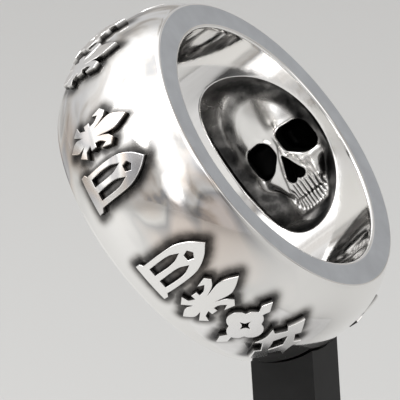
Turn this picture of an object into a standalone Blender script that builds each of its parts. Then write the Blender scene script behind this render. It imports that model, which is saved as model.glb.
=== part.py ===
"""A heavy domed band ring with a skull carved into its bore, on a square post with a foot plate.

The object stands on Z = 0 with its origin under the middle of the foot plate.
Shapes are worked out in millimetres and stored in metres, with Z up.
"""

import itertools
import math

import bmesh
import bpy
import numpy as np
from mathutils import Matrix, Vector

MM = 0.001

# Band, in the ring's own frame with the bore along Z
BORE_RADIUS = 9.9
FACE_RADIUS = 11.8
CROWN_RADIUS = 13.47
BAND_WIDTH = 10.0
DOME_POWER = 2.61
OUTER_CHAMFER = 0.15
BORE_CHAMFER = 0.22
BAND_STEPS = 56
DOME_ROWS = 10

# Raised ornament round the dome
RELIEF = 0.4
ROOT = 0.5
ORNAMENT_SHIFT = -0.3
CUT_PITCH = 0.9
CURVE_POINTS = 5

# Oval recess in the bore, and the grid its surface is made on
RECESS_ANGLE = math.radians(2.2)
RECESS_HALF_LENGTH = 6.8
RECESS_HALF_WIDTH = 4.0
RECESS_DEPTH = 2.4
RECESS_RIM_DEPTH = 0.45
JAW_BLEND = 0.3
CROWN_BLEND = 0.9
RECESS_OVERCUT = 0.5
GRID_PITCH = (0.2, 0.19, 0.2)
KEPT_SHARE = 0.31

# Stand
RING_TILT = math.radians(35)
RING_SETBACK = 4.45
RING_HEIGHT = 35.0
POST_SIDE = 4.75
SEAT_GAP = 0.15
FOOT_SIDE = 30.0
FOOT_THICKNESS = 4.0
FOOT_BEVEL = 0.5
SOCKET_DEPTH = 2.0
SOCKET_GAP = 0.2

WELD = 0.000002


def clear_scene():
    for obj in list(bpy.data.objects):
        bpy.data.objects.remove(obj)


def collection(name):
    made = bpy.data.collections.new(name)
    bpy.context.scene.collection.children.link(made)
    return made


def material(name, colour, roughness, metallic):
    made = bpy.data.materials.new(name)
    made.use_nodes = True
    shader = made.node_tree.nodes["Principled BSDF"]
    shader.inputs["Base Color"].default_value = (*colour, 1.0)
    shader.inputs["Roughness"].default_value = roughness
    shader.inputs["Metallic"].default_value = metallic
    return made


def add_object(name, mesh, where, parent=None):
    obj = bpy.data.objects.new(name, mesh)
    where.objects.link(obj)
    obj.parent = parent
    return obj


def mesh_from(name, points, faces):
    """A mesh from points in millimetres."""
    mesh = bpy.data.meshes.new(name)
    mesh.from_pydata([tuple(p) for p in np.asarray(points) * MM], [], [tuple(f) for f in faces])
    mesh.update()
    return mesh


def make_cutter(obj):
    obj.hide_render = True
    obj.display_type = "WIRE"
    return obj


def boolean(obj, other, operation):
    step = obj.modifiers.new(operation.lower(), "BOOLEAN")
    step.object = other
    step.operation = operation
    step.solver = "EXACT"


def weld(obj):
    step = obj.modifiers.new("weld", "WELD")
    step.merge_threshold = WELD


def dome_radius(z):
    """Outer radius of the band at a distance z from its middle."""
    share = np.abs(z) / (BAND_WIDTH / 2)
    return FACE_RADIUS + (CROWN_RADIUS - FACE_RADIUS) * (1 - share**DOME_POWER)


def dome_points(grow=0.0):
    """The outer side of the profile as (radius, z), top to bottom."""
    half = BAND_WIDTH / 2
    heights = np.linspace(half - OUTER_CHAMFER, OUTER_CHAMFER - half, DOME_ROWS + 1)
    side = [(float(dome_radius(z)) + grow, float(z)) for z in heights]
    top = (FACE_RADIUS - OUTER_CHAMFER + grow, half + grow)
    bottom = (FACE_RADIUS - OUTER_CHAMFER + grow, -half - grow)
    return [top, *side, bottom]


def band_profile():
    half = BAND_WIDTH / 2
    bore = [
        (BORE_RADIUS + BORE_CHAMFER, -half),
        (BORE_RADIUS, BORE_CHAMFER - half),
        (BORE_RADIUS, half - BORE_CHAMFER),
        (BORE_RADIUS + BORE_CHAMFER, half),
    ]
    return dome_points() + bore


def turned(name, profile, closed, where, parent):
    """A turned body: its profile runs down the outer side, and the Screw takes it round Z."""
    points = [(r, 0.0, z) for r, z in profile]
    edges = [(i, i + 1) for i in range(len(points) - 1)]
    if closed:
        edges.append((len(points) - 1, 0))
    mesh = bpy.data.meshes.new(name)
    mesh.from_pydata([tuple(c * MM for c in p) for p in points], edges, [])
    obj = add_object(name, mesh, where, parent)
    screw = obj.modifiers.new("screw", "SCREW")
    screw.axis = "Z"
    screw.steps = BAND_STEPS
    screw.render_steps = BAND_STEPS
    screw.use_merge_vertices = True
    screw.merge_threshold = 0.00001
    return obj


# Distances for the skull: each is negative inside its form


def smooth_union(a, b, blend):
    h = np.clip(0.5 + 0.5 * (b - a) / blend, 0, 1)
    return b + (a - b) * h - blend * h * (1 - h)


def smooth_cut(a, b, blend):
    """Form a without form b."""
    return -smooth_union(-a, b, blend)


def ellipsoid(p, centre, radii):
    q = [(c - m) / r for c, m, r in zip(p, centre, radii)]
    k0 = np.sqrt(sum(c * c for c in q))
    k1 = np.sqrt(sum((c / r) ** 2 for c, r in zip(q, radii)))
    return k0 * (k0 - 1) / np.maximum(k1, 1e-6)


def bone(p, start, end, first, last):
    """A rod from start to end whose radius runs from first to last."""
    along = [e - s for s, e in zip(start, end)]
    length2 = sum(c * c for c in along)
    t = sum((c - s) * d for c, s, d in zip(p, start, along)) / length2
    t = np.clip(t, 0, 1)
    gap = np.sqrt(sum((c - s - t * d) ** 2 for c, s, d in zip(p, start, along)))
    return gap - (first + (last - first) * t)


def socket_outline(a, y):
    """Distance to the eye socket's edge, seen from the front: a rounded square cut at the nose."""
    dx = np.abs(a - 1.64) - 0.4
    dy = np.abs(y - 0.1 + 0.06 * (a - 1.66)) - 0.4
    outside = np.sqrt(np.maximum(dx, 0) ** 2 + np.maximum(dy, 0) ** 2)
    box = outside + np.minimum(np.maximum(dx, dy), 0) - 0.84
    corner = (0.62 - a) * 0.62 + (-0.35 - y) * 0.78
    return smooth_cut(box, -corner, 0.3)


def nose_outline(a, y):
    """Distance to the nose opening's edge, seen from the front: a drop on each side."""
    return bone((a, y, 0 * a), (0.02, -0.42, 0), (0.37, -2.06, 0), 0.05, 0.4)


def skull(x, y, f):
    """The skull in its own frame: x across, y up, f towards the one who looks at its face."""
    a = np.abs(x)
    p = (a, y, f)
    head = ellipsoid(p, (0, 2.2, -2.66), (3.6, 5.4, 2.6))
    head = smooth_cut(head, ellipsoid(p, (4.5, 1.4, -0.85), (1.7, 2.7, 1.35)), 0.5)
    head = smooth_union(head, ellipsoid(p, (0, -1.3, -2.15), (2.35, 2.2, 1.85)), 0.5)
    head = smooth_union(head, bone(p, (0.7, 1.45, -0.7), (2.6, 1.25, -1.4), 0.45, 0.34), 0.45)
    head = smooth_union(head, bone(p, (2.85, 1.0, -1.6), (2.95, -1.0, -1.65), 0.32, 0.36), 0.3)
    head = smooth_union(head, bone(p, (0.9, -1.5, -1.0), (2.65, -1.45, -1.55), 0.6, 0.55), 0.5)
    head = smooth_union(head, bone(p, (2.6, -1.5, -1.6), (3.6, -0.7, -2.5), 0.5, 0.35), 0.4)
    head = smooth_union(head, bone(p, (1.7, -1.5, -1.4), (1.25, -2.7, -1.2), 0.65, 0.6), 0.6)
    head = smooth_cut(head, ellipsoid(p, (0, 0.35, 0.75), (1.0, 1.1, 1.15)), 0.4)
    head = smooth_union(head, bone(p, (0, 0.9, -0.8), (0, -0.5, -0.42), 0.22, 0.22), 0.25)
    arch = ellipsoid((a, 0 * y, f), (0, 0, -2.05), (1.8, 1.0, 1.75))
    upper = smooth_cut(arch, 0.82 - np.abs(y + 2.85), 0.2)
    head = smooth_union(head, upper, 0.2)
    lower = smooth_cut(arch - 0.02, 0.6 - np.abs(y + 4.3), 0.2)
    jaw = smooth_union(lower, ellipsoid(p, (0, -5.3, -1.0), (1.9, 0.75, 1.2)), 0.25)
    jaw = smooth_union(jaw, bone(p, (0, -5.05, -0.45), (2.2, -4.35, -1.7), 0.22, 0.22), 0.2)
    jaw = smooth_union(jaw, bone(p, (1.0, -5.4, -0.6), (2.8, -4.3, -1.5), 0.6, 0.5), 0.4)
    jaw = smooth_union(jaw, bone(p, (2.8, -4.3, -1.5), (3.3, -2.0, -1.8), 0.5, 0.4), 0.4)
    form = smooth_union(head, jaw, 0.15)
    eye = np.maximum(socket_outline(a, y), -2.65 - f)
    nose = np.maximum(nose_outline(a, y), -1.7 - f)
    form = smooth_cut(form, eye, 0.12)
    return smooth_cut(form, nose, 0.1)


def recess(u, z, h):
    """The hollow to cut: u round the bore, z along it and h into the wall; negative in the hollow."""
    oval = np.sqrt((u / RECESS_HALF_LENGTH) ** 2 + (z / RECESS_HALF_WIDTH) ** 2)
    slope = np.sqrt((u / RECESS_HALF_LENGTH**2) ** 2 + (z / RECESS_HALF_WIDTH**2) ** 2)
    side = oval * (oval - 1) / np.maximum(slope, 1e-6)
    bowl = RECESS_DEPTH - (RECESS_DEPTH - RECESS_RIM_DEPTH) * np.minimum(oval, 1) ** 2
    floor = (h - bowl) * 0.8
    hollow = np.maximum(np.maximum(side, floor), -RECESS_OVERCUT - h)
    angle = RECESS_ANGLE + u / BORE_RADIUS
    radius = BORE_RADIUS + h
    y = radius * np.sin(angle)
    blend = JAW_BLEND + (CROWN_BLEND - JAW_BLEND) * np.clip((y + 1.8) / 2.6, 0, 1)
    return smooth_cut(hollow, skull(z, y, BORE_RADIUS - radius * np.cos(angle)), blend)


def net_surface(values):
    """Points, in grid steps, and faces of the surface where the values change sign."""
    cells = tuple(n - 1 for n in values.shape)
    total = np.zeros(cells + (3,))
    hits = np.zeros(cells)
    for axis in range(3):
        for near in itertools.product((0, 1), repeat=3):
            if near[axis]:
                continue
            far = [1 if k == axis else near[k] for k in range(3)]
            a = values[tuple(slice(c, c + n) for c, n in zip(near, cells))]
            b = values[tuple(slice(c, c + n) for c, n in zip(far, cells))]
            crosses = (a < 0) != (b < 0)
            share = np.where(crosses, a / np.where(crosses, a - b, 1), 0)
            total += crosses[..., None] * np.array(near, float)
            total[..., axis] += share
            hits += crosses
    active = hits > 0
    number = np.full(cells, -1)
    number[active] = np.arange(active.sum())
    points = np.argwhere(active) + total[active] / hits[active][:, None]
    faces = []
    for axis in range(3):
        order = (axis, (axis + 1) % 3, (axis + 2) % 3)
        grid = np.moveaxis(values, order, (0, 1, 2))[:, 1:-1, 1:-1] < 0
        ids = np.moveaxis(number, order, (0, 1, 2))
        around = (ids[:, :-1, :-1], ids[:, 1:, :-1], ids[:, 1:, 1:], ids[:, :-1, 1:])
        quads = np.stack(around, -1)
        faces.append(quads[grid[:-1] & ~grid[1:]])
        faces.append(quads[grid[1:] & ~grid[:-1]][:, ::-1])
    return points, np.concatenate(faces)


def softened(values):
    """Averages each value with its neighbours, twice, so that no wall is thinner than the grid."""
    for axis in (0, 1, 2, 0, 1, 2):
        padded = np.pad(values, [(1, 1) if k == axis else (0, 0) for k in range(3)], "edge")
        first, middle, last = (
            np.take(padded, range(n, n + values.shape[axis]), axis) for n in range(3)
        )
        values = (first + 4 * middle + last) / 6
    return values


def recess_mesh(name):
    du, dz, dh = GRID_PITCH
    u = np.arange(-RECESS_HALF_LENGTH - 2 * du, RECESS_HALF_LENGTH + 2.5 * du, du)
    z = np.arange(-RECESS_HALF_WIDTH - 2 * dz, RECESS_HALF_WIDTH + 2.5 * dz, dz)
    h = np.arange(-RECESS_OVERCUT - 2 * dh, 3.2, dh)
    values = softened(recess(*np.meshgrid(u, z, h, indexing="ij")))
    points, faces = net_surface(values)
    angle = RECESS_ANGLE + (u[0] + points[:, 0] * du) / BORE_RADIUS
    along = z[0] + points[:, 1] * dz
    radius = BORE_RADIUS + h[0] + points[:, 2] * dh
    bent = np.stack([radius * np.cos(angle), radius * np.sin(angle), along], axis=1)
    return mesh_from(name, bent, faces)


# Ornament outlines: lists of closed loops in millimetres, the first one outside, the rest holes


def mirrored(right):
    """A whole outline from its right half, which runs from the top to the bottom."""
    left = [(-x, y) for x, y in reversed(right) if x > 1e-6]
    return right + left


def arc(cx, cy, radius, start, end, count=CURVE_POINTS):
    angles = np.radians(np.linspace(start, end, count))
    return [(cx + radius * float(np.cos(t)), cy + radius * float(np.sin(t))) for t in angles]


def flower():
    """A three-leaved lily with a band and a tail."""
    middle = [(0, 2.7), (0.42, 2.0), (0.6, 1.35), (0.36, 0.1)]
    leaf = [(0.7, 0.85), (1.12, 1.2), (1.52, 0.85), (1.3, 0.02)]
    under = [(1.1, 0.5), (0.78, 0.1), (0.7, -0.34)]
    band = [(1.02, -0.34), (1.02, -0.84), (0.66, -0.84)]
    tail = [(0.86, -1.3), (1.34, -1.46), (0.9, -2.0), (0.36, -1.35)]
    tip = [(0.46, -1.98), (0, -2.7)]
    return [mirrored(middle + leaf + under + band + tail + tip)]


def window():
    """A pointed window with two lights and a round eye."""
    frame = [(0, 2.7), (0.66, 2.02), (1.12, 1.1), (1.26, 0.2), (1.26, -2.1)]
    sill = [(1.52, -2.3), (1.52, -2.7)]
    light = [(0.54, 0.75), (0.84, -0.1), (0.84, -1.86), (0.24, -1.86), (0.24, -0.1)]
    other = [(-x, y) for x, y in reversed(light)]
    eye = arc(0, 1.22, 0.38, 90, 378, 5)
    return [mirrored(frame + sill), light, other, eye]


def rosette():
    """Four round lobes with a pierced middle and a spear at the top and the bottom."""
    spear = [(0, 2.7), (0.42, 2.02), (0.2, 1.5)]
    top = arc(0, 0.72, 0.78, 60, 8, 3)
    side = arc(0.72, 0, 0.8, 62, -62, 5)
    bottom = [(x, -y) for x, y in reversed(top)]
    foot = [(0.2, -1.5), (0.42, -2.02), (0, -2.7)]
    star = [(0.5, 0), (0.15, 0.15), (0, 0.5), (-0.15, 0.15)]
    hole = star + [(-x, -y) for x, y in star]
    return [mirrored(spear + top + side + bottom + foot), hole]


def lance():
    """A pierced lozenge with barbs, between two points."""
    right = [(0, 2.7), (0.72, 1.62), (0.4, 1.3), (1.0, 0.62), (1.52, 0.9), (1.3, 0.0)]
    lower = [(x, -y) for x, y in reversed(right[:-1])]
    hole = [(0, 0.92), (0.5, 0), (0, -0.92), (-0.5, 0)]
    return [mirrored(right + lower), hole]


# Each group's first angle, pitch and ornaments; the place over the post at 270 degrees is bare
GROUPS = (
    (193.9, 14.4, (window, flower, rosette, lance)),
    (147.2, 15.2, (flower, window)),
    (102.2, 15.2, (rosette, flower)),
    (289.6, 14.4, (flower, rosette, lance, rosette, flower)),
    (16.6, 14.2, (window, lance, flower, lance, window)),
)


def plate(loops, name):
    """A flat plate with holes, from root to top of its relief."""
    curve = bpy.data.curves.new(name, "CURVE")
    curve.dimensions = "2D"
    curve.fill_mode = "BOTH"
    curve.extrude = (RELIEF + ROOT) / 2 * MM
    for loop in loops:
        spline = curve.splines.new("POLY")
        spline.points.add(len(loop) - 1)
        for point, (x, y) in zip(spline.points, loop):
            point.co = (x * MM, y * MM, 0, 1)
        spline.use_cyclic_u = True
    holder = bpy.data.objects.new(name, curve)
    bpy.context.scene.collection.objects.link(holder)
    graph = bpy.context.evaluated_depsgraph_get()
    mesh = bpy.data.meshes.new_from_object(holder.evaluated_get(graph))
    bpy.data.objects.remove(holder)
    shape = bmesh.new()
    shape.from_mesh(mesh)
    bmesh.ops.remove_doubles(shape, verts=shape.verts, dist=WELD)
    return shape


def cut_across(shape, axis, pitch, reach):
    """Splits the faces by parallel planes, so that the plate can bend."""
    normal = Vector((0, 0, 0))
    normal[axis] = 1
    for place in np.arange(-reach, reach + pitch / 2, pitch):
        point = normal * float(place) * MM
        everything = shape.verts[:] + shape.edges[:] + shape.faces[:]
        bmesh.ops.bisect_plane(shape, geom=everything, dist=WELD, plane_co=point, plane_no=normal)


def bend_on_dome(shape, angle):
    for vertex in shape.verts:
        x, y, t = vertex.co / MM
        around = angle + x / CROWN_RADIUS
        z = y + ORNAMENT_SHIFT
        radius = float(dome_radius(z)) + t + (RELIEF - ROOT) / 2
        vertex.co = Vector((radius * math.cos(around), radius * math.sin(around), z)) * MM


def ornament_mesh(name):
    """All the ornaments, each one closed and sunk a little way into the dome."""
    joined = bmesh.new()
    for first, pitch, kinds in GROUPS:
        for number, kind in enumerate(kinds):
            shape = plate(kind(), name)
            cut_across(shape, 1, CUT_PITCH, 2 * CUT_PITCH)
            cut_across(shape, 0, CUT_PITCH, 0)
            bmesh.ops.triangulate(shape, faces=shape.faces)
            bend_on_dome(shape, math.radians(first + number * pitch))
            piece = bpy.data.meshes.new(name)
            shape.to_mesh(piece)
            shape.free()
            joined.from_mesh(piece)
            bpy.data.meshes.remove(piece)
    mesh = bpy.data.meshes.new(name)
    joined.to_mesh(mesh)
    joined.free()
    return mesh


def block(name, size, centre, where, bevel=0.0):
    """A box of a given size and centre, in millimetres."""
    shape = bmesh.new()
    bmesh.ops.create_cube(shape, size=1.0)
    bmesh.ops.scale(shape, vec=Vector(size) * MM, verts=shape.verts)
    mesh = bpy.data.meshes.new(name)
    shape.to_mesh(mesh)
    shape.free()
    obj = add_object(name, mesh, where)
    obj.location = Vector(centre) * MM
    if bevel:
        step = obj.modifiers.new("bevel", "BEVEL")
        step.width = bevel * MM
        step.segments = 2
    return obj


def ring_frame():
    """The ring's frame: X is level across the stand, Z is the bore's axis, tilted up and forward."""
    s, c = math.sin(RING_TILT), math.cos(RING_TILT)
    columns = ((0, 1, 0), (-s, 0, c), (c, 0, s))
    turn = Matrix(columns).transposed().to_4x4()
    return Matrix.Translation(Vector((-RING_SETBACK, 0, RING_HEIGHT)) * MM) @ turn


def build():
    clear_scene()
    parts = collection("skull_band_ring_on_stand")
    cutters = collection("cutters")
    silver = material("cast_silver", (0.72, 0.71, 0.69), 0.18, 1.0)
    dark = material("dark_grey_paint", (0.035, 0.035, 0.035), 0.55, 0.0)
    pale = material("pale_grey_paint", (0.56, 0.56, 0.56), 0.5, 0.0)

    axis = add_object("ring_axis", None, parts)
    axis.empty_display_size = 5 * MM
    axis.matrix_world = ring_frame()

    ring = turned("skull_band_ring", band_profile(), True, parts, axis)
    hollow = make_cutter(add_object("recess_cutter", recess_mesh("recess"), cutters, axis))
    thin = hollow.modifiers.new("thin", "DECIMATE")
    thin.ratio = KEPT_SHARE
    ornament = make_cutter(add_object("ornament", ornament_mesh("ornament"), cutters, axis))
    boolean(ring, hollow, "DIFFERENCE")
    boolean(ring, ornament, "UNION")
    weld(ring)

    foot_centre = (0, 0, FOOT_THICKNESS / 2)
    foot_size = (FOOT_SIDE, FOOT_SIDE, FOOT_THICKNESS)
    foot = block("stand_foot", foot_size, foot_centre, parts, FOOT_BEVEL)
    socket_side = POST_SIDE + 2 * SOCKET_GAP
    socket_size = (socket_side, socket_side, 2 * SOCKET_DEPTH)
    socket_centre = (0, 0, FOOT_THICKNESS)
    socket = make_cutter(block("socket_cutter", socket_size, socket_centre, cutters))
    boolean(foot, socket, "DIFFERENCE")

    bottom = FOOT_THICKNESS - SOCKET_DEPTH + SOCKET_GAP
    top = RING_HEIGHT - FACE_RADIUS * math.cos(RING_TILT)
    size = (POST_SIDE, POST_SIDE, top - bottom)
    post = block("stand_post", size, (0, 0, (top + bottom) / 2), parts)
    seat_profile = [(0, BAND_WIDTH / 2 + SEAT_GAP), *dome_points(SEAT_GAP)]
    seat_profile.append((0, -BAND_WIDTH / 2 - SEAT_GAP))
    seat = make_cutter(turned("seat_cutter", seat_profile, False, cutters, axis))
    boolean(post, seat, "DIFFERENCE")
    weld(post)

    ring.data.materials.append(silver)
    foot.data.materials.append(pale)
    post.data.materials.append(dark)


build()
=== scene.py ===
"""The look of the skull band ring on its post stand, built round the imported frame."""

import itertools
import math
import bmesh
import bpy
import numpy as np
from mathutils import Matrix, Vector


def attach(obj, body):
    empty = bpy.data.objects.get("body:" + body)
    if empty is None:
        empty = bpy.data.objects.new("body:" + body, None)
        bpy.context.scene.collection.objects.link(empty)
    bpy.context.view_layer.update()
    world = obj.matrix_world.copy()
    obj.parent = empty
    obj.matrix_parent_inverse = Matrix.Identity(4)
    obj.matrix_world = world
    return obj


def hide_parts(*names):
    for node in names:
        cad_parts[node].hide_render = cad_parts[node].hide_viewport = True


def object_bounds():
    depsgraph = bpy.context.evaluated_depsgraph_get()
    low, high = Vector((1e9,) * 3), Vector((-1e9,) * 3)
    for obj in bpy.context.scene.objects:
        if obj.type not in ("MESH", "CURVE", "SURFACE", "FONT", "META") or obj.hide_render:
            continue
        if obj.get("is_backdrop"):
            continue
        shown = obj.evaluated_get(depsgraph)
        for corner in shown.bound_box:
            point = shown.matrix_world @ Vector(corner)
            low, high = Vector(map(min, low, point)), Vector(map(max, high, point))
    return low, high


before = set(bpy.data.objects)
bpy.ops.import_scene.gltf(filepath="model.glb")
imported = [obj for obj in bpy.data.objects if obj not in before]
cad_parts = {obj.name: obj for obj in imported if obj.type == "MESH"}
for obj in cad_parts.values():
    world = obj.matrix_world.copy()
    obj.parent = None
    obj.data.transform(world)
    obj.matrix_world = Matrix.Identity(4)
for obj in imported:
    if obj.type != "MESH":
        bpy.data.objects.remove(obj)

CAD_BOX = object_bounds()

MM = 0.001
NODE = "skull_band_ring"

# Band, as in the solids, in millimetres. The outer fillet is stretched along the side face.
BORE_RADIUS = 9.9
FACE_RADIUS = 11.8
CROWN_RADIUS = 13.47
BAND_WIDTH = 10.0
DOME_POWER = 2.61
OUTER_FILLET = 0.15
OUTER_FILLET_STRETCH = 1.15
BORE_FILLET = 0.22

# Its mesh: columns round the ring, rows across the dome and each fillet, a row close to each
# edge of the side face, and rows across the bore
COLUMNS = 720
DOME_ROWS = 66
FILLET_ROWS = 6
EDGE_ROW = 0.03
BORE_ROWS = (-2.3, 0, 2.3)

# Ornament: its height above the dome, its root below it, its shift along the ring's axis and
# the rounding of its edges
RELIEF = 0.4
ROOT = 0.12
ORNAMENT_SHIFT = -0.3
ORNAMENT_BEVEL = 0.05
ORNAMENT_SHARP_ANGLE = math.radians(13)

# The box that its outlines are drawn in, and the pitch of the cuts that let a plate follow the
# dome. The first cut is off the box's edge, so that no cut runs along an outline. Points closer
# than the weld are one point.
ORNAMENT_HALF_HEIGHT = 2.7
ORNAMENT_HALF_WIDTH = 1.5
CUT_PITCH = 0.3
CUT_OFFSET = 0.013
WELD = 0.001

# Painted shade round the ornament, a dark halo on the dome: its reach, its strength at the foot
# of the wall, how fast it fades, and the half arc of dome that is looked at for each plate
HALO_REACH = 1.25
HALO_STRENGTH = 0.6
HALO_FADE = 1.7
HALO_HALF_ARC = 3.2

# Painted shade on the ornament's walls, and the heights above the dome between which it fades
WALL_SHADE = 0.72
WALL_SHADE_FULL = 0.22
WALL_SHADE_GONE = 0.36

# Extra dullness of the ornament and of the recess
SATIN = 1.4

# Clouded polish: middle and spread in degrees round the ring; on the dome also the heights
# along the ring's axis where it starts and where it is full
CLOUDED_DOME = ((190, 22, -3.0, 1.0), (142, 16, -1.0, -3.2))
CLOUDED_ORNAMENT = (154, 17)

# Recess in the bore's wall. Its floor rises from its middle to the rim, and the skull blends
# into it more softly at the crown than at the jaw.
RECESS_ANGLE = math.radians(2.2)
RECESS_HALF_LENGTH = 6.8
RECESS_HALF_WIDTH = 4.0
RECESS_DEPTH = 2.4
RECESS_RIM_DEPTH = 0.45
JAW_BLEND = 0.3
CROWN_BLEND = 0.9
RIM_ROUND = 0.1

# The part of the bore that is meshed with the recess: pitch of its grid, where it starts and
# ends in degrees round the ring, its half width, and the layers of the grid from above the
# wall down past the recess's floor
PATCH_PITCH = 0.058
PATCH_FROM = -41.0
PATCH_TO = 43.0
PATCH_HALF_WIDTH = 4.6
PATCH_LAYERS = (-2.5, 46)

# Skull, in its own frame: x across, y up, f towards the one who looks at its face. These are
# the middles and radii of its round parts; the temple and the nose's root are cut away.
CRANIUM = ((0, 2.2, -2.66), (3.6, 5.4, 2.6))
TEMPLE = ((4.5, 1.4, -0.85), (1.7, 2.7, 1.35))
MIDFACE = ((0, -1.3, -2.15), (2.35, 2.2, 1.85))
NOSE_ROOT = ((0, 0.35, 0.75), (1.0, 1.1, 1.15))
CHIN = ((0, -5.3, -1.0), (1.9, 0.75, 1.2))

# How softly each of these joins or cuts the rest, and the jaw joins the head
TEMPLE_BLEND = 0.5
MIDFACE_BLEND = 0.5
NOSE_ROOT_BLEND = 0.4
UPPER_TEETH_BLEND = 0.2
CHIN_BLEND = 0.25
JAW_TO_HEAD_BLEND = 0.15

# Bones: start, end, thickness at each, and the blend into what is there already
FACE_BONES = (
    ((0.7, 1.45, -0.7), (2.6, 1.25, -1.4), 0.45, 0.34, 0.45),  # brow
    ((2.85, 1.0, -1.6), (2.95, -1.0, -1.65), 0.32, 0.36, 0.3),  # outer rim of the eye socket
    ((0.9, -1.5, -1.0), (2.65, -1.45, -1.55), 0.6, 0.55, 0.5),  # cheek
    ((2.6, -1.5, -1.6), (3.6, -0.7, -2.5), 0.5, 0.35, 0.4),  # cheekbone
    ((1.7, -1.5, -1.4), (1.25, -2.7, -1.2), 0.65, 0.6, 0.6),  # from the cheek to the teeth
)
NOSE_BONES = (((0, 0.9, -0.8), (0, -0.5, -0.42), 0.22, 0.22, 0.25),)
JAW_BONES = (
    ((0, -5.05, -0.45), (2.2, -4.35, -1.7), 0.22, 0.22, 0.2),  # ridge below the teeth
    ((1.0, -5.4, -0.6), (2.8, -4.3, -1.5), 0.6, 0.5, 0.4),  # lower edge
    ((2.8, -4.3, -1.5), (3.3, -2.0, -1.8), 0.5, 0.4, 0.4),  # up to the joint
)

# Openings: how far in f the floors of the sockets and of the nose lie, and how round the edges
SOCKET_FLOOR = -2.65
SOCKET_ROUND = 0.18
NOSE_FLOOR = -1.7
NOSE_ROUND = 0.12

# Teeth: the arch they are cut from, the level where the rows meet, each row's middle level and
# half height, the levels between which its gaps deepen, how far the lower row stands out, the
# angle that one tooth takes, the depth of the gaps and of the rounding at each tooth's end
ARCH_CENTRE = (0, 0, -2.05)
ARCH_RADII = (1.8, 1.0, 1.75)
BITE_LEVEL = -3.7
UPPER_LEVEL, UPPER_HALF = -2.85, 0.82
LOWER_LEVEL, LOWER_HALF = -4.3, 0.6
UPPER_GAPS = (-2.2, -2.9)
LOWER_GAPS = (-5.0, -4.7)
LOWER_STAND_OUT = 0.02
UPPER_TOOTH = math.radians(12.5)
LOWER_TOOTH = math.radians(10.0)
TOOTH_GAP_DEPTH = 0.14
TOOTH_END_ROUND = 0.1
TOOTH_ROW_BLEND = 0.2

# Half widths of the skull's bright face at these levels, from the jaw up to the forehead, and
# the height of the bright forehead above the last level
# Outside this bright face, shade and dark reflection are painted on the recess
FACE_LEVELS = (-4.9, -4.3, -2.9, -2.4, -1.8, -1.1, 0.0, 1.3)
FACE_WIDTHS = (1.1, 1.55, 1.9, 2.0, 2.8, 2.95, 2.9, 2.5)
FOREHEAD_HEIGHT = 3.1

# Place of the ring on its stand: how far the bore's axis points up, how far the ring's middle
# lies behind the post's and how high it is
RING_TILT = math.radians(35.0)
RING_SETBACK = 4.45
RING_HEIGHT = 35.0

# Camera: its direction, roll and distance, and how far in pixels the ring's middle lies to the
# right of and above the picture's middle
CAMERA_AZIMUTH = math.radians(23.4)
CAMERA_ELEVATION = math.radians(12.0)
CAMERA_ROLL = math.radians(3.7)
CAMERA_DISTANCE = 425.3
CAMERA_LENS = 540.0
PIXELS_PER_MM = 14.108
MIDDLE_OFFSET = (25.5, 18.0)

# Soft bright panels of the room: azimuth, elevation, the angles where each is full and gone,
# and how bright it is
PANELS = (
    (-85, 68, 28, 48, 0.65),
    (15, 52, 12, 28, 0.6),
    (-60, 20, 15, 24, 1.0),
    (75, 25, 12, 22, 0.9),
    (6, 31, 8, 19, 0.8),
    (1, 15, 6, 12, 1.4),
)

# The one lamp: azimuth, elevation, distance and size in metres, and radiance
KEY = (-45, 55, 0.35, (0.25, 0.25), 4.8)


def ring_matrix():
    """The ring's place on its stand: its own Z is the bore's axis, and X points at the skull."""
    s, c = math.sin(RING_TILT), math.cos(RING_TILT)
    turn = Matrix(((0, 1, 0), (-s, 0, c), (c, 0, s))).transposed().to_4x4()
    return Matrix.Translation(Vector((-RING_SETBACK, 0, RING_HEIGHT)) * MM) @ turn


RING = ring_matrix()


def dome_radius(z):
    """The dome's radius at a height along the ring's axis."""
    share = np.abs(z) / (BAND_WIDTH / 2)
    return FACE_RADIUS + (CROWN_RADIUS - FACE_RADIUS) * (1 - share**DOME_POWER)


def new_object(name, mesh):
    """An object in the scene for this mesh or other data."""
    obj = bpy.data.objects.new(name, mesh)
    bpy.context.scene.collection.objects.link(obj)
    return obj


def mesh_in_place(name, points, faces, materials, marks, indices=None):
    """A smooth mesh whose points, in the ring's frame and millimetres, are put where the ring is."""
    turn = np.array(RING.to_3x3())
    shift = np.array(RING.translation)
    placed = np.asarray(points) * MM @ turn.T + shift
    mesh = bpy.data.meshes.new(name)
    mesh.from_pydata([tuple(p) for p in placed], [], [tuple(int(i) for i in f) for f in faces])
    for mark in ("painted_shade", "satin", "tarnish"):
        layer = mesh.attributes.new(mark, "FLOAT", "POINT")
        values = marks.get(mark, np.zeros(len(points)))
        layer.data.foreach_set("value", np.asarray(values, np.float32))
    for material in materials:
        mesh.materials.append(material)
    if indices is not None:
        mesh.polygons.foreach_set("material_index", np.asarray(indices, np.int32))
    mesh.polygons.foreach_set("use_smooth", np.ones(len(mesh.polygons), bool))
    mesh.update()
    return mesh


# Ornament outlines: each has an outer loop and its holes, x round the ring, y along its axis


def mirrored(right):
    """A closed outline from its right half, which starts and ends on the middle line."""
    left = [(-x, y) for x, y in reversed(right) if x > 0]
    return right + left


def arc(cx, cy, radius, start, end, count):
    """Points on part of a circle, from one angle to another in degrees."""
    angles = np.radians(np.linspace(start, end, count))
    return [(cx + radius * float(np.cos(t)), cy + radius * float(np.sin(t))) for t in angles]


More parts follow.
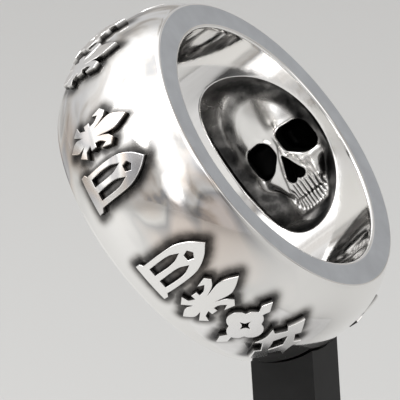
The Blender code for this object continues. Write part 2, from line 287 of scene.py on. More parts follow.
def flower():
    """A fleur-de-lis."""
    middle = [(0, 2.7), (0.42, 2.0), (0.6, 1.35), (0.36, 0.1)]
    leaf = [(0.7, 0.85), (1.12, 1.2), (1.52, 0.85), (1.3, 0.02)]
    under = [(1.1, 0.5), (0.78, 0.1), (0.7, -0.34)]
    band = [(1.02, -0.34), (1.02, -0.84), (0.66, -0.84)]
    tail = [(0.86, -1.3), (1.34, -1.46), (0.9, -2.0), (0.36, -1.35)]
    tip = [(0.46, -1.98), (0, -2.7)]
    return [mirrored(middle + leaf + under + band + tail + tip)]


def window():
    """A lancet window with two lights and an eye above them."""
    frame_side = [(0, 2.7), (0.66, 2.02), (1.12, 1.1), (1.26, 0.2), (1.26, -2.1)]
    sill = [(1.52, -2.3), (1.52, -2.7)]
    light = [(0.54, 0.75), (0.84, -0.1), (0.84, -1.86), (0.24, -1.86), (0.24, -0.1)]
    other = [(-x, y) for x, y in reversed(light)]
    eye = arc(0, 1.22, 0.38, 90, 378, 5)
    return [mirrored(frame_side + sill), light, other, eye]


def rosette():
    """A round flower with a star in its middle and a spear at each end."""
    spear = [(0, 2.7), (0.42, 2.02), (0.2, 1.5)]
    top = arc(0, 0.72, 0.78, 60, 8, 3)
    side = arc(0.72, 0, 0.8, 62, -62, 5)
    bottom = [(x, -y) for x, y in reversed(top)]
    foot = [(0.2, -1.5), (0.42, -2.02), (0, -2.7)]
    star = [(0.5, 0), (0.15, 0.15), (0, 0.5), (-0.15, 0.15)]
    hole = star + [(-x, -y) for x, y in star]
    return [mirrored(spear + top + side + bottom + foot), hole]


def lance():
    """A lance head at each end, joined by a lozenge with a hole."""
    right = [(0, 2.7), (0.72, 1.62), (0.4, 1.3), (1.0, 0.62), (1.52, 0.9), (1.3, 0.0)]
    lower = [(x, -y) for x, y in reversed(right[:-1])]
    hole = [(0, 0.92), (0.5, 0), (0, -0.92), (-0.5, 0)]
    return [mirrored(right + lower), hole]


# Groups round the ring: angle of the first plate, pitch in degrees, and the plates' shapes
GROUPS = (
    (193.9, 14.4, (window, flower, rosette, lance)),
    (147.2, 15.2, (flower, window)),
    (102.2, 15.2, (rosette, flower)),
    (289.6, 14.4, (flower, rosette, lance, rosette, flower)),
    (16.6, 14.2, (window, lance, flower, lance, window)),
)


def eased(loop, steps=5, corner=48.0):
    """The loop with its gentle turns made into curves and its corners kept."""
    points = np.array(loop, float)
    count = len(points)
    before, after = np.roll(points, 1, 0), np.roll(points, -1, 0)
    first, second = points - before, after - points
    turn = np.degrees(
        np.abs(
            np.arctan2(
                first[:, 0] * second[:, 1] - first[:, 1] * second[:, 0],
                (first * second).sum(1),
            )
        )
    )
    out = []
    for i in range(count):
        j = (i + 1) % count
        chord = points[j] - points[i]
        length = np.linalg.norm(chord)
        leave = chord if turn[i] > corner else unit(points[j] - before[i]) * length
        arrive = chord if turn[j] > corner else unit(after[j] - points[i]) * length
        for k in range(steps):
            t = k / steps
            h = (2 * t**3 - 3 * t**2 + 1, t**3 - 2 * t**2 + t, 3 * t**2 - 2 * t**3, t**3 - t**2)
            p = h[0] * points[i] + h[1] * leave + h[2] * points[j] + h[3] * arrive
            out.append((float(p[0]), float(p[1])))
    return out


def unit(v):
    """The vector at length one."""
    return v / max(np.linalg.norm(v), 1e-9)


def placed_ornaments():
    """Each ornament's eased loops and the angle of its middle."""
    cache = {}
    for first, pitch, kinds in GROUPS:
        for number, kind in enumerate(kinds):
            if kind not in cache:
                cache[kind] = [eased(loop) for loop in kind()]
            yield cache[kind], math.radians(first + number * pitch)


def loop_distance(loops, x, y):
    """Distance from points to the nearest outline, and whether they lie in the ornament."""
    best = np.full(x.shape, 9.0)
    crossings = np.zeros(x.shape, int)
    for loop in loops:
        for (ax, ay), (bx, by) in zip(loop, loop[1:] + loop[:1]):
            dx, dy = bx - ax, by - ay
            t = np.clip(((x - ax) * dx + (y - ay) * dy) / max(dx * dx + dy * dy, 1e-12), 0, 1)
            best = np.minimum(best, np.hypot(x - ax - t * dx, y - ay - t * dy))
            if abs(dy) > 1e-12:
                spans = (ay > y) != (by > y)
                crossings += spans & (x < ax + (y - ay) / dy * dx)
    return best, crossings % 2 == 1


def smoothstep(low, high, value):
    """From 0 at low to 1 at high, with soft ends; low may be the greater of the two."""
    t = np.clip((value - low) / (high - low), 0, 1)
    return t * t * (3 - 2 * t)


def band_profile():
    """Rows of (radius, z, kind) round the whole section: 0 dome, 1 side face, 2 bore."""
    half = BAND_WIDTH / 2
    rows = []
    for z in np.linspace(half - OUTER_FILLET, OUTER_FILLET - half, DOME_ROWS + 1):
        rows.append((float(dome_radius(z)), float(z), 0))
    corner_radius = float(dome_radius(half - OUTER_FILLET))
    flat_outer = corner_radius - OUTER_FILLET * OUTER_FILLET_STRETCH
    for k in range(1, FILLET_ROWS):
        t = k / FILLET_ROWS * math.pi / 2
        r = flat_outer + (corner_radius - flat_outer) * math.cos(t)
        rows.append((r, -half + OUTER_FILLET * (1 - math.sin(t)), 0))
    inner = BORE_RADIUS + BORE_FILLET
    middle = (flat_outer + inner) / 2
    for r in (flat_outer, flat_outer - EDGE_ROW, middle, inner + EDGE_ROW, inner):
        rows.append((r, -half, 1))
    for k in range(1, FILLET_ROWS):
        t = k / FILLET_ROWS * math.pi / 2
        r = inner - BORE_FILLET * math.sin(t)
        rows.append((r, -half + BORE_FILLET * (1 - math.cos(t)), 2))
    end = half - BORE_FILLET
    bore = [-end, -PATCH_HALF_WIDTH, *BORE_ROWS, PATCH_HALF_WIDTH, end]
    rows += [(BORE_RADIUS, z, 2) for z in bore]
    top = [(r, -z, kind) for r, z, kind in reversed(rows[DOME_ROWS + 1 : -len(bore)])]
    return rows + top


def clouding(turn, middle, spread):
    """How clouded the polish is at a turn round the ring, all in degrees."""
    return np.exp(-(((turn - middle) / spread) ** 2))


def band_tarnish(angles, rows):
    """The areas of the dome where the polish has clouded."""
    turn = np.degrees(angles)[:, None]
    height = np.array([z for _, z, _ in rows])
    on_dome = np.array([kind == 0 for _, _, kind in rows])
    areas = [
        clouding(turn, middle, spread) * smoothstep(start, full, height)
        for middle, spread, start, full in CLOUDED_DOME
    ]
    return np.clip(sum(areas), 0, 1) * on_dome


def dome_halo_shade(angles, height):
    """Painted shade on the dome round the ornament, for each column and row."""
    painted_shade = np.zeros((COLUMNS, len(height)))
    dome = slice(0, DOME_ROWS + 1)
    for loops, middle in placed_ornaments():
        away = np.arctan2(np.sin(angles - middle), np.cos(angles - middle)) * CROWN_RADIUS
        near = np.where(np.abs(away) < HALO_HALF_ARC)[0]
        x, y = np.meshgrid(away[near], height[dome] - ORNAMENT_SHIFT, indexing="ij")
        gap, inside = loop_distance(loops, x, y)
        gap = np.where(inside, 0, gap)
        mark = HALO_STRENGTH * (1 - smoothstep(0.0, HALO_REACH, gap)) ** HALO_FADE
        painted_shade[near, dome] = np.maximum(painted_shade[near, dome], mark)
    return painted_shade


def in_patch_rows(row):
    """Whether a row of the section is one that the recess's own piece covers."""
    radius, z, _ = row
    return radius == BORE_RADIUS and abs(z) <= PATCH_HALF_WIDTH


def band_faces(rows):
    """Faces between the rows and columns, and the number of each one's material."""
    faces, indices = [], []
    count = len(rows)
    low = round(PATCH_FROM * COLUMNS / 360)
    high = round(PATCH_TO * COLUMNS / 360)
    for j in range(count):
        k = (j + 1) % count
        kind = 1 if rows[j][2] == 1 and rows[k][2] == 1 else 0
        covered = in_patch_rows(rows[j]) and in_patch_rows(rows[k])
        for i in range(COLUMNS):
            if covered and (i < high or i >= COLUMNS + low):
                continue
            n = (i + 1) % COLUMNS
            faces.append((i * count + j, i * count + k, n * count + k, n * count + j))
            indices.append(kind)
    return faces, indices


def band_mesh(materials):
    """The domed band, open where the piece with the recess takes its place."""
    rows = band_profile()
    radius = np.array([r for r, _, _ in rows])
    height = np.array([z for _, z, _ in rows])
    angles = np.radians(np.arange(COLUMNS) * 360 / COLUMNS)
    points = np.stack(
        [
            np.outer(np.cos(angles), radius),
            np.outer(np.sin(angles), radius),
            np.tile(height, (COLUMNS, 1)),
        ],
        axis=-1,
    )
    faces, indices = band_faces(rows)
    # Painted shade round the ornament on the dome
    painted_shade, tarnish = dome_halo_shade(angles, height), band_tarnish(angles, rows)
    marks = {"painted_shade": painted_shade.ravel(), "tarnish": tarnish.ravel()}
    return mesh_in_place("band", points.reshape(-1, 3), faces, materials, marks, indices)


def flat_plate(loops):
    """A flat ornament with rounded edges, its middle plane at zero."""
    curve = bpy.data.curves.new("plate", "CURVE")
    curve.dimensions = "2D"
    curve.fill_mode = "BOTH"
    curve.extrude = ((RELIEF + ROOT) / 2 - ORNAMENT_BEVEL) * MM
    curve.bevel_depth = ORNAMENT_BEVEL * MM
    curve.bevel_resolution = 2
    curve.offset = -ORNAMENT_BEVEL * MM
    for loop in loops:
        spline = curve.splines.new("POLY")
        spline.points.add(len(loop) - 1)
        for point, (x, y) in zip(spline.points, loop):
            point.co = (x * MM, y * MM, 0, 1)
        spline.use_cyclic_u = True
    holder = new_object("plate", curve)
    graph = bpy.context.evaluated_depsgraph_get()
    mesh = bpy.data.meshes.new_from_object(holder.evaluated_get(graph))
    bpy.data.objects.remove(holder)
    return mesh


def plate(loops):
    """Points in millimetres and faces of an ornament, cut so that it can be bent to the dome."""
    shape = bmesh.new()
    shape.from_mesh(flat_plate(loops))
    bmesh.ops.remove_doubles(shape, verts=shape.verts, dist=WELD * MM)
    for normal, reach in (
        (Vector((0, 1, 0)), ORNAMENT_HALF_HEIGHT),
        (Vector((1, 0, 0)), ORNAMENT_HALF_WIDTH),
    ):
        for place in np.arange(-reach + CUT_OFFSET, reach, CUT_PITCH):
            everything = shape.verts[:] + shape.edges[:] + shape.faces[:]
            point = normal * float(place) * MM
            bmesh.ops.bisect_plane(
                shape, geom=everything, dist=WELD / 2 * MM, plane_co=point, plane_no=normal
            )
    bmesh.ops.triangulate(shape, faces=[f for f in shape.faces if len(f.verts) > 4])
    shape.verts.index_update()
    points = np.array([v.co[:] for v in shape.verts]) / MM
    faces = [tuple(v.index for v in f.verts) for f in shape.faces]
    shape.free()
    return points, faces


def ornament_mesh(materials):
    """All raised plates, bent round the dome, with painted shade on their walls."""
    flat = {}
    points, faces = [], []
    start = 0
    for loops, middle in placed_ornaments():
        key = id(loops)
        if key not in flat:
            flat[key] = plate(loops)
        shape, shape_faces = flat[key]
        around = middle + shape[:, 0] / CROWN_RADIUS
        z = shape[:, 1] + ORNAMENT_SHIFT
        radius = dome_radius(z) + shape[:, 2] + (RELIEF - ROOT) / 2
        points.append(np.stack([radius * np.cos(around), radius * np.sin(around), z], 1))
        faces += [tuple(i + start for i in f) for f in shape_faces]
        start += len(shape)
    points = np.concatenate(points)
    away = np.hypot(points[:, 0], points[:, 1]) - dome_radius(points[:, 2])
    turn = np.degrees(np.arctan2(points[:, 1], points[:, 0]))
    marks = {
        # Painted shade on the walls, fading towards the top of each plate
        "painted_shade": WALL_SHADE * (1 - smoothstep(WALL_SHADE_FULL, WALL_SHADE_GONE, away)),
        "satin": np.full(len(points), SATIN),
        "tarnish": clouding(turn, *CLOUDED_ORNAMENT),
    }
    return mesh_in_place("ornament", points, faces, materials, marks)


# Distances for the skull: each is negative inside its form


def smooth_union(a, b, blend):
    """Both forms, with a fillet between them."""
    h = np.clip(0.5 + 0.5 * (b - a) / blend, 0, 1)
    return b + (a - b) * h - blend * h * (1 - h)


def smooth_cut(a, b, blend):
    """The first form with the second taken out of it, with a rounded edge."""
    return -smooth_union(-a, b, blend)


def ellipsoid(p, centre, radii):
    """About the distance from points to an ellipsoid."""
    q = [(c - m) / r for c, m, r in zip(p, centre, radii)]
    k0 = np.sqrt(sum(c * c for c in q))
    k1 = np.sqrt(sum((c / r) ** 2 for c, r in zip(q, radii)))
    return k0 * (k0 - 1) / np.maximum(k1, 1e-6)


def bone(p, start, end, first, last):
    """Distance to a round bar whose thickness changes from its start to its end."""
    along = [e - s for s, e in zip(start, end)]
    length2 = sum(c * c for c in along)
    t = sum((c - s) * d for c, s, d in zip(p, start, along)) / length2
    t = np.clip(t, 0, 1)
    gap = np.sqrt(sum((c - s - t * d) ** 2 for c, s, d in zip(p, start, along)))
    return gap - (first + (last - first) * t)


def socket_outline(a, y):
    """Distance to the eye socket's outline: a rounded square with its inner lower corner cut."""
    middle, lean = 1.64, 0.06 * (a - 1.66)
    half, rounding = 0.4, 0.84
    dx = np.abs(a - middle) - half
    dy = np.abs(y - 0.1 + lean) - half
    outside = np.sqrt(np.maximum(dx, 0) ** 2 + np.maximum(dy, 0) ** 2)
    box = outside + np.minimum(np.maximum(dx, dy), 0) - rounding
    corner = (0.62 - a) * 0.62 + (-0.35 - y) * 0.78
    return smooth_cut(box, -corner, 0.3)


def nose_outline(a, y):
    """Distance to one half of the nose opening, a drop that widens downwards."""
    return bone((a, y, 0 * a), (0.02, -0.42, 0), (0.37, -2.06, 0), 0.05, 0.4)


def dental_arch(a, f):
    """Distance to the upright wall that the teeth are cut from."""
    return ellipsoid((a, 0 * a, f), ARCH_CENTRE, ARCH_RADII)


def tooth_groove(a, f, width):
    """From 0 at the middle of a tooth to 1 in the gap beside it, round the dental arch."""
    turn = np.arctan2(a, f - ARCH_CENTRE[2]) / width
    share = np.abs(turn - np.floor(turn) - 0.5) * 2
    return share**3


def add_bones(form, p, bones):
    """The form with bones blended into it, one after another."""
    for start, end, first, last, blend in bones:
        form = smooth_union(form, bone(p, start, end, first, last), blend)
    return form


def tooth_row(y, arch, groove, gap, level, half):
    """A row of teeth: the arch between two levels, cut by the gaps and round at each tooth's end."""
    row = arch + groove * TOOTH_GAP_DEPTH * gap
    return smooth_cut(row, half - TOOTH_END_ROUND * groove - np.abs(y - level), TOOTH_ROW_BLEND)


def skull(x, y, f):
    """Distance to the skull, negative inside it."""
    a = np.abs(x)
    p = (a, y, f)
    head = smooth_cut(ellipsoid(p, *CRANIUM), ellipsoid(p, *TEMPLE), TEMPLE_BLEND)
    head = smooth_union(head, ellipsoid(p, *MIDFACE), MIDFACE_BLEND)
    head = add_bones(head, p, FACE_BONES)
    head = smooth_cut(head, ellipsoid(p, *NOSE_ROOT), NOSE_ROOT_BLEND)
    head = add_bones(head, p, NOSE_BONES)
    arch = dental_arch(a, f)
    groove, gap = tooth_groove(a, f, UPPER_TOOTH), smoothstep(*UPPER_GAPS, y)
    upper = tooth_row(y, arch, groove, gap, UPPER_LEVEL, UPPER_HALF)
    head = smooth_union(head, upper, UPPER_TEETH_BLEND)
    groove, gap = tooth_groove(a, f, LOWER_TOOTH), smoothstep(*LOWER_GAPS, y)
    lower = tooth_row(y, arch - LOWER_STAND_OUT, groove, gap, LOWER_LEVEL, LOWER_HALF)
    jaw = add_bones(smooth_union(lower, ellipsoid(p, *CHIN), CHIN_BLEND), p, JAW_BONES)
    form = smooth_union(head, jaw, JAW_TO_HEAD_BLEND)
    form = smooth_cut(form, np.maximum(socket_outline(a, y), SOCKET_FLOOR - f), SOCKET_ROUND)
    return smooth_cut(form, np.maximum(nose_outline(a, y), NOSE_FLOOR - f), NOSE_ROUND)


def face_place(u, z, h):
    """Where a point of the bore's own grid lies in the skull's frame."""
    angle = RECESS_ANGLE + u / BORE_RADIUS
    radius = BORE_RADIUS + h
    return z, radius * np.sin(angle), BORE_RADIUS - radius * np.cos(angle)


def oval_share(u, z):
    """From 0 in the recess's middle to 1 at its rim; u runs round the bore, z along it."""
    return np.sqrt((u / RECESS_HALF_LENGTH) ** 2 + (z / RECESS_HALF_WIDTH) ** 2)


def metal(u, z, h):
    """Negative in the metal: the wall with its oval recess, and the skull in it."""
    oval = oval_share(u, z)
    slope = np.sqrt((u / RECESS_HALF_LENGTH**2) ** 2 + (z / RECESS_HALF_WIDTH**2) ** 2)
    side = oval * (oval - 1) / np.maximum(slope, 1e-6)
    bowl = RECESS_DEPTH - (RECESS_DEPTH - RECESS_RIM_DEPTH) * np.minimum(oval, 1) ** 2
    hollow = np.maximum(side, (h - bowl) * 0.8)
    wall = smooth_cut(-h, hollow, RIM_ROUND)
    x, y, f = face_place(u, z, h)
    blend = JAW_BLEND + (CROWN_BLEND - JAW_BLEND) * np.clip((y + 1.8) / 2.6, 0, 1)
    return smooth_union(wall, skull(x, y, f), blend)


def net_surface(values):
    """Points, in grid steps, and faces of the surface where the values change sign."""
    cells = tuple(n - 1 for n in values.shape)
    total = np.zeros(cells + (3,), np.float32)
    hits = np.zeros(cells, np.float32)
    for axis in range(3):
        for near in itertools.product((0, 1), repeat=3):
            if near[axis]:
                continue
            far = [1 if k == axis else near[k] for k in range(3)]
            a = values[tuple(slice(c, c + n) for c, n in zip(near, cells))]
            b = values[tuple(slice(c, c + n) for c, n in zip(far, cells))]
            crosses = (a < 0) != (b < 0)
            share = np.where(crosses, a / np.where(crosses, a - b, 1), 0)
            for k in range(3):
                if near[k]:
                    total[..., k] += crosses
            total[..., axis] += share
            hits += crosses
    active = hits > 0
    number = np.full(cells, -1)
    number[active] = np.arange(active.sum())
    points = np.argwhere(active) + total[active] / hits[active][:, None]
    faces = []
    for axis in range(3):
        order = (axis, (axis + 1) % 3, (axis + 2) % 3)
        grid = np.moveaxis(values, order, (0, 1, 2))[:, 1:-1, 1:-1] < 0
        ids = np.moveaxis(number, order, (0, 1, 2))
        around = (ids[:, :-1, :-1], ids[:, 1:, :-1], ids[:, 1:, 1:], ids[:, :-1, 1:])
        quads = np.stack(around, -1)
        faces.append(quads[grid[:-1] & ~grid[1:]])
        faces.append(quads[grid[1:] & ~grid[:-1]][:, ::-1])
    return points, np.concatenate(faces)


def streaks(x, y, share):
    """A wavering pattern from -1 to 1 for the painted shade: slow patches, and waves along the oval.
    """
    bent = x + 0.5 * np.sin(1.9 * y + 0.6) + 0.22 * np.sin(4.3 * y - 1.1 * x)
    slow = np.sin(1.7 * bent + 1.3 * y + 0.8)
    drawn = np.sin(17 * share + 1.8 * np.sin(1.3 * y + 0.4 * x) + 0.9 * x)
    fine = np.sin(31 * share + 2.4 * np.sin(2.3 * y - x) - 1.2 * y)
    return 0.5 * slow + 0.32 * drawn + 0.18 * fine


def openness(u, z, h):
    """How open the metal's surface is: 1 on a ridge or a plain wall, less in a hollow."""
    step = 0.04
    grad = np.stack(
        [
            metal(u + step, z, h) - metal(u - step, z, h),
            metal(u, z + step, h) - metal(u, z - step, h),
            metal(u, z, h + step) - metal(u, z, h - step),
        ],
        1,
    )
    grad /= np.maximum(np.linalg.norm(grad, axis=1), 1e-9)[:, None]
    share = np.ones(len(u))
    for reach, weight in ((0.15, 0.9), (0.4, 0.7), (0.9, 0.5)):
        there = metal(u + grad[:, 0] * reach, z + grad[:, 1] * reach, h + grad[:, 2] * reach)
        share *= 1 - weight * (1 - np.clip(there / reach, 0, 1))
    return share


def smoky_painted_shade(x, y, share):
    """Patchy painted shade and painted dark reflection round the face, below the jaw, over the brow
    and beside the nose.
    """
    # Round the face, painted shade and dark reflection: from none inside its bright outline to full
    # outside it
    a = np.abs(x)
    width = np.interp(y, FACE_LEVELS, FACE_WIDTHS) - 0.2 * smoothstep(0.5, 1.8, x)
    above = np.maximum(y - FACE_LEVELS[-1], 0) / FOREHEAD_HEIGHT
    outer = smoothstep(0.86, 1.16, np.hypot(a / width, above))
    jaw = smoothstep(-4.55, -4.8, y)
    # It is patchy, and paler in the upper left
    folds = streaks(x, y, share) * (1 - jaw) + np.sin(24 * share + 2 * x) * jaw
    upper_left_share = smoothstep(2.6, 4.4, y) * smoothstep(0.9, -0.8, x)
    smoky_shade = np.maximum(outer * (0.61 - 0.2 * upper_left_share), jaw * 0.63) * (1 + 0.4 * folds)
    # A painted dark reflection in a streak down the forehead, and painted shade along one side of
    # the nose
    brow = np.exp(-(((x - 0.2 - 0.12 * y) / 0.34) ** 2)) * smoothstep(0.9, 2.0, y) * 0.34
    beside_nose = np.interp(y, (-3.0, -0.5, 0.4, 1.6), (-1.35, -0.41, 0.1, 0.3))
    fold = np.exp(-(((x - beside_nose) / 0.1) ** 2)) * smoothstep(-3.2, -2.6, y)
    return np.maximum.reduce([smoky_shade, brow, fold * smoothstep(1.6, 0.6, y) * 0.42])


def tooth_gap_shade(a, y, f):
    """Painted shade in the gaps between the teeth and along the line where the rows meet."""
    groove = tooth_groove(a, f, np.where(y > BITE_LEVEL, UPPER_TOOTH, LOWER_TOOTH))
    bite = smoothstep(0.1, 0.01, np.abs(y - BITE_LEVEL - 0.04 * groove)) * 0.4
    return np.maximum(groove * 0.7, bite) * smoothstep(0.2, 0.06, dental_arch(a, f))


def recess_painted_shade(u, z, h):
    """How dark each point is painted: painted shade in hollows, openings, gaps between teeth and on
    the recess's sides, a painted dark reflection down the forehead, and a faint even darkening.
    """
    x, y, f = face_place(u, z, h)
    a = np.abs(x)
    mouth = smoothstep(-2.3, -2.8, y) * smoothstep(-4.9, -4.7, y) * smoothstep(2.1, 1.8, a)
    # Painted shade in the hollows, darker where the surface is more closed in
    crevice_shade = smoothstep(0.7, 0.2, openness(u, z, h)) * (0.75 - 0.45 * mouth)
    smoky_shade = smoky_painted_shade(x, y, oval_share(u, z))
    inside = smoothstep(0.05, 0.2, h)
    # Painted shade filling the eye and nose openings
    eye = smoothstep(0.03, -0.05, socket_outline(a, y)) * inside
    nose = smoothstep(0.03, -0.05, nose_outline(a, y)) * inside
    # Painted shade between the teeth
    teeth = tooth_gap_shade(a, y, f) * mouth
    # A faint even darkening of the whole recess
    faint = np.full_like(h, 0.06)
    dark = np.maximum.reduce([crevice_shade, smoky_shade, teeth, eye * 1.5, nose * 1.5, faint])
    return dark * smoothstep(0.05, 0.35, h)


def recess_mesh(materials):
    """The part of the bore's wall with the recess and the skull, from one fine grid."""
    low = math.radians(PATCH_FROM) - RECESS_ANGLE
    high = math.radians(PATCH_TO) - RECESS_ANGLE
    across = round((high - low) * BORE_RADIUS / PATCH_PITCH)
    along = round(2 * PATCH_HALF_WIDTH / PATCH_PITCH)
    du = (high - low) * BORE_RADIUS / across
    dz = 2 * PATCH_HALF_WIDTH / along
    u = low * BORE_RADIUS + (np.arange(across + 2) - 0.5) * du
    z = -PATCH_HALF_WIDTH + (np.arange(along + 2) - 0.5) * dz
    h = np.arange(*PATCH_LAYERS) * PATCH_PITCH
    values = metal(*np.meshgrid(u, z, h, indexing="ij", sparse=True)).astype(np.float32)
    points, faces = net_surface(values)
    pu = u[0] + points[:, 0] * du
    pz = z[0] + points[:, 1] * dz
    ph = h[0] + points[:, 2] * PATCH_PITCH
    # Painted shade and painted dark reflection for each point of the recess and skull
    painted_shade = recess_painted_shade(pu, pz, ph)
    angle = RECESS_ANGLE + pu / BORE_RADIUS
    radius = BORE_RADIUS + ph
    bent = np.stack([radius * np.cos(angle), radius * np.sin(angle), pz], 1)
    marks = {"painted_shade": painted_shade, "satin": SATIN * smoothstep(0.05, 0.5, ph)}
    return mesh_in_place("recess_and_skull", bent, faces, materials, marks)


# Materials


def new_material(name):
    """A material with its node tree and its shader."""
    material = bpy.data.materials.new(name)
    material.use_nodes = True
    tree = material.node_tree
    return material, tree, tree.nodes["Principled BSDF"]


def add_node(tree, kind, **settings):
    """A node with these inputs or properties set."""
    node = tree.nodes.new(kind)
    for name, value in settings.items():
        if name in node.inputs:
            node.inputs[name].default_value = value
        else:
            setattr(node, name, value)
    return node


def noise(tree, place, scale, detail, roughness=0.5, distortion=0.0):
    """The strength of a cloudy pattern at a place."""
    node = add_node(
        tree,
        "ShaderNodeTexNoise",
        Scale=scale,
        Detail=detail,
        Roughness=roughness,
        Distortion=distortion,
    )
    tree.links.new(place, node.inputs["Vector"])
    return node.outputs["Fac"]


def ramp(tree, source, stops):
    """The colour for a strength, from stops of place and colour."""
    node = tree.nodes.new("ShaderNodeValToRGB")
    elements = node.color_ramp.elements
    while len(elements) < len(stops):
        elements.new(0.5)
    for element, (place, colour) in zip(elements, stops):
        element.position = place
        element.color = (*colour, 1)
    tree.links.new(source, node.inputs[0])
    return node.outputs[0]


def stretched(tree, source, low, high, start=0.0, end=1.0):
    """A strength from start to end, turned into a number from low to high."""
    node = add_node(tree, "ShaderNodeMapRange")
    for name, value in (("From Min", start), ("From Max", end), ("To Min", low), ("To Max", high)):
        node.inputs[name].default_value = value
    tree.links.new(source, node.inputs["Value"])
    return node.outputs[0]


def calculated(tree, operation, *values, clamp=False):
    """The result of a sum on numbers and on other nodes' results."""
    node = add_node(tree, "ShaderNodeMath", operation=operation, use_clamp=clamp)
    for socket, value in zip(node.inputs, values):
        if isinstance(value, float):
            socket.default_value = value
        else:
            tree.links.new(value, socket)
    return node.outputs[0]


def mark(tree, name):
    """The mesh's own mark of this name."""
    return add_node(tree, "ShaderNodeAttribute", attribute_name=name).outputs["Fac"]


def add_grain(tree, shader, place, scale, detail, strength, distance):
    """Fine unevenness of the surface."""
    bump = add_node(tree, "ShaderNodeBump", Strength=strength, Distance=distance)
    tree.links.new(noise(tree, place, scale, detail), bump.inputs["Height"])
    tree.links.new(bump.outputs[0], shader.inputs["Normal"])


def grey(v):
    """A colour without a tint."""
    return (v, v, v)


def marbling(tree, place):
    """The veined tints of clouded polish, drawn out round the ring."""
    drawn = add_node(tree, "ShaderNodeMapping", vector_type="TEXTURE")
    drawn.inputs["Rotation"].default_value = RING.to_euler()
    drawn.inputs["Scale"].default_value = (1.0, 2.6, 1.0)
    tree.links.new(place, drawn.inputs["Vector"])
    return ramp(
        tree,
        noise(tree, drawn.outputs["Vector"], 170.0, 1.5, 0.4, 1.0),
        (
            (0.37, grey(0.9)),
            (0.42, (0.50, 0.50, 0.53)),
            (0.48, (0.78, 0.69, 0.62)),
            (0.53, (0.86, 0.85, 0.83)),
            (0.56, (0.45, 0.45, 0.46)),
            (0.62, (0.82, 0.74, 0.69)),
        ),
    )


def silver_material():
    """Polished cast silver, darkened by painted shade and painted dark reflection, clouded and
    dulled where the mesh's marks say so.
    """
    material, tree, shader = new_material("polished_silver")
    links = tree.links
    place = add_node(tree, "ShaderNodeTexCoord").outputs["Object"]
    patchy = stretched(tree, noise(tree, place, 1500.0, 4.0, 0.6), 0.8, 1.2, 0.25, 0.75)
    # The mesh's painted shade turns the silver's colour dark, down to near black
    painted_shade = calculated(tree, "MULTIPLY", mark(tree, "painted_shade"), patchy, clamp=True)
    tone = ramp(
        tree,
        painted_shade,
        (
            (0.0, (0.93, 0.92, 0.905)),
            (0.2, (0.50, 0.49, 0.475)),
            (0.4, (0.17, 0.165, 0.16)),
            (0.6, (0.05, 0.049, 0.048)),
            (0.85, grey(0.012)),
            (1.0, grey(0.004)),
        ),
    )
    veiled = add_node(tree, "ShaderNodeMix", data_type="RGBA", blend_type="MULTIPLY")
    links.new(mark(tree, "tarnish"), veiled.inputs[0])
    links.new(tone, veiled.inputs[6])
    links.new(marbling(tree, place), veiled.inputs[7])
    links.new(veiled.outputs[2], shader.inputs["Base Color"])
    shader.inputs["Metallic"].default_value = 1.0
    dullness = stretched(tree, noise(tree, place, 260.0, 4.0, 0.55), 0.04, 0.12)
    dullness = calculated(tree, "MULTIPLY_ADD", painted_shade, 0.2, dullness)
    dullness = calculated(tree, "MULTIPLY_ADD", mark(tree, "satin"), 0.09, dullness)
    links.new(dullness, shader.inputs["Roughness"])
    add_grain(tree, shader, place, 2600.0, 3.0, 0.06, 0.00004)
    return material


def satin_material():
    """The flat side faces: an even, finely lapped grey."""
    material, tree, shader = new_material("lapped_silver")
    place = add_node(tree, "ShaderNodeTexCoord").outputs["Object"]
    cloud = noise(tree, place, 500.0, 5.0, 0.6)
    tone = ramp(tree, cloud, ((0.3, (0.53, 0.55, 0.58)), (0.7, (0.61, 0.635, 0.665))))
    tree.links.new(tone, shader.inputs["Base Color"])
    shader.inputs["Metallic"].default_value = 0.85
    tree.links.new(stretched(tree, cloud, 0.42, 0.55), shader.inputs["Roughness"])
    add_grain(tree, shader, place, 6000.0, 2.0, 0.15, 0.00002)
    return material


def paint_material(name, dark, light):
    """Matte paint on the stand, a little cloudy and grained."""
    material, tree, shader = new_material(name)
    place = add_node(tree, "ShaderNodeTexCoord").outputs["Object"]
    cloud = noise(tree, place, 350.0, 6.0, 0.6)
    tone = ramp(tree, cloud, ((0.3, grey(dark)), (0.75, grey(light))))
    tree.links.new(tone, shader.inputs["Base Color"])
    shader.inputs["Roughness"].default_value = 0.6
    shader.inputs["Specular IOR Level"].default_value = 0.25
    add_grain(tree, shader, place, 3500.0, 3.0, 0.25, 0.00003)
    return material


def floor_material():
    """A plain pale floor."""
    material, _, shader = new_material("pale_floor")
    shader.inputs["Base Color"].default_value = (0.5, 0.5, 0.492, 1)
    shader.inputs["Roughness"].default_value = 0.6
    return material


def put_material(obj, material):
    """Gives a carried-over solid this material alone."""
    obj.data.materials.clear()
    obj.data.materials.append(material)


# Stage


def camera_axes():
    """The camera's right, up and backward directions."""
    a, e, roll = CAMERA_AZIMUTH, CAMERA_ELEVATION, CAMERA_ROLL
    back = Vector((math.sin(a) * math.cos(e), -math.cos(a) * math.cos(e), math.sin(e)))
    level = Vector((math.cos(a), math.sin(a), 0))
    up = back.cross(level)
    right = math.cos(roll) * level - math.sin(roll) * up
    return right, back.cross(right), back


def make_camera():
    """A long lens in front of the stand, to its right and a little above the ring."""
    right, up, back = camera_axes()
    middle = Vector((-RING_SETBACK, 0, RING_HEIGHT))
    target = middle - (MIDDLE_OFFSET[0] * right + MIDDLE_OFFSET[1] * up) / PIXELS_PER_MM
    data = bpy.data.cameras.new("camera")
    data.lens = CAMERA_LENS
    data.sensor_width = 36
    data.clip_start = 0.01
    data.clip_end = 20
    camera = bpy.data.objects.new("camera", data)
    bpy.context.scene.collection.objects.link(camera)
    turn = Matrix((right, up, back)).transposed().to_4x4()
    camera.matrix_world = Matrix.Translation((target + back * CAMERA_DISTANCE) * MM) @ turn
    bpy.context.scene.camera = camera


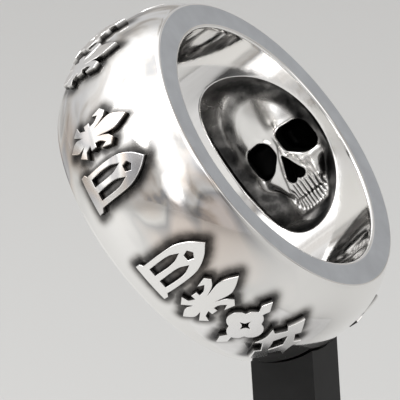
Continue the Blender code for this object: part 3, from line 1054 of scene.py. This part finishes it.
def direction(azimuth, elevation):
    """Away from the ring; azimuth 0 is straight in front of the stand."""
    a, e = math.radians(azimuth), math.radians(elevation)
    return Vector((math.sin(a) * math.cos(e), -math.cos(a) * math.cos(e), math.sin(e)))


def make_world():
    """A pale room with faint folds of shade and soft bright panels."""
    world = bpy.data.worlds.new("studio")
    bpy.context.scene.world = world
    world.use_nodes = True
    tree = world.node_tree
    links = tree.links
    place = tree.nodes.new("ShaderNodeTexCoord").outputs["Generated"]
    total = ramp(
        tree,
        noise(tree, place, 2.2, 3.0, 0.5, 1.4),
        (
            (0.36, (0.26, 0.265, 0.28)),
            (0.43, (0.41, 0.385, 0.36)),
            (0.50, (0.55, 0.54, 0.53)),
            (0.60, (0.60, 0.60, 0.61)),
        ),
    )
    for azimuth, elevation, inner, outer, strength in PANELS:
        across = add_node(tree, "ShaderNodeVectorMath", operation="DOT_PRODUCT")
        links.new(place, across.inputs[0])
        across.inputs[1].default_value = direction(azimuth, elevation)
        glow = add_node(tree, "ShaderNodeMapRange", interpolation_type="SMOOTHSTEP")
        glow.inputs["From Min"].default_value = math.cos(math.radians(outer))
        glow.inputs["From Max"].default_value = math.cos(math.radians(inner))
        glow.inputs["To Max"].default_value = strength
        links.new(across.outputs["Value"], glow.inputs["Value"])
        add = add_node(tree, "ShaderNodeVectorMath", operation="ADD")
        links.new(total, add.inputs[0])
        links.new(glow.outputs[0], add.inputs[1])
        total = add.outputs[0]
    links.new(total, tree.nodes["Background"].inputs["Color"])


def make_lamp():
    """One square soft lamp, up and to the left of the ring, facing it."""
    azimuth, elevation, distance, size, radiance = KEY
    data = bpy.data.lights.new("key", "AREA")
    data.shape = "RECTANGLE"
    data.size, data.size_y = size
    data.energy = radiance * math.pi * size[0] * size[1]
    away = direction(azimuth, elevation)
    turn = away.to_track_quat("Z", "Y").to_matrix().to_4x4()
    place = Matrix.Translation(RING.translation + away * distance)
    new_object("key", data).matrix_world = place @ turn


def make_stage():
    """The floor and the lamp."""
    bpy.context.scene.view_settings.view_transform = "Standard"
    bpy.ops.mesh.primitive_plane_add(size=6)
    floor = bpy.context.object
    floor.name = "floor"
    floor.data.materials.append(floor_material())
    floor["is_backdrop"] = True
    make_lamp()


def add_piece(name, mesh):
    """A silver piece that stays with the part's one body."""
    obj = new_object(name, mesh)
    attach(obj, "root")
    return obj


def build():
    """The camera, the pieces, the stand's paint and the room."""
    make_camera()
    silver, satin = silver_material(), satin_material()
    band = add_piece("band", band_mesh((silver, satin)))
    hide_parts(NODE)
    ornament = add_piece("ornament", ornament_mesh((silver,)))
    ornament.data.set_sharp_from_angle(angle=ORNAMENT_SHARP_ANGLE)
    add_piece("recess_and_skull", recess_mesh((silver,)))
    put_material(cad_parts["stand_post"], paint_material("post_paint", 0.008, 0.014))
    put_material(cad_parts["stand_foot"], paint_material("foot_paint", 0.49, 0.57))
    make_world()
    make_stage()


build()

boxes = {"cad": CAD_BOX, "visual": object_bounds()}
{k: [list(map(float, corner)) for corner in v] for k, v in boxes.items()}
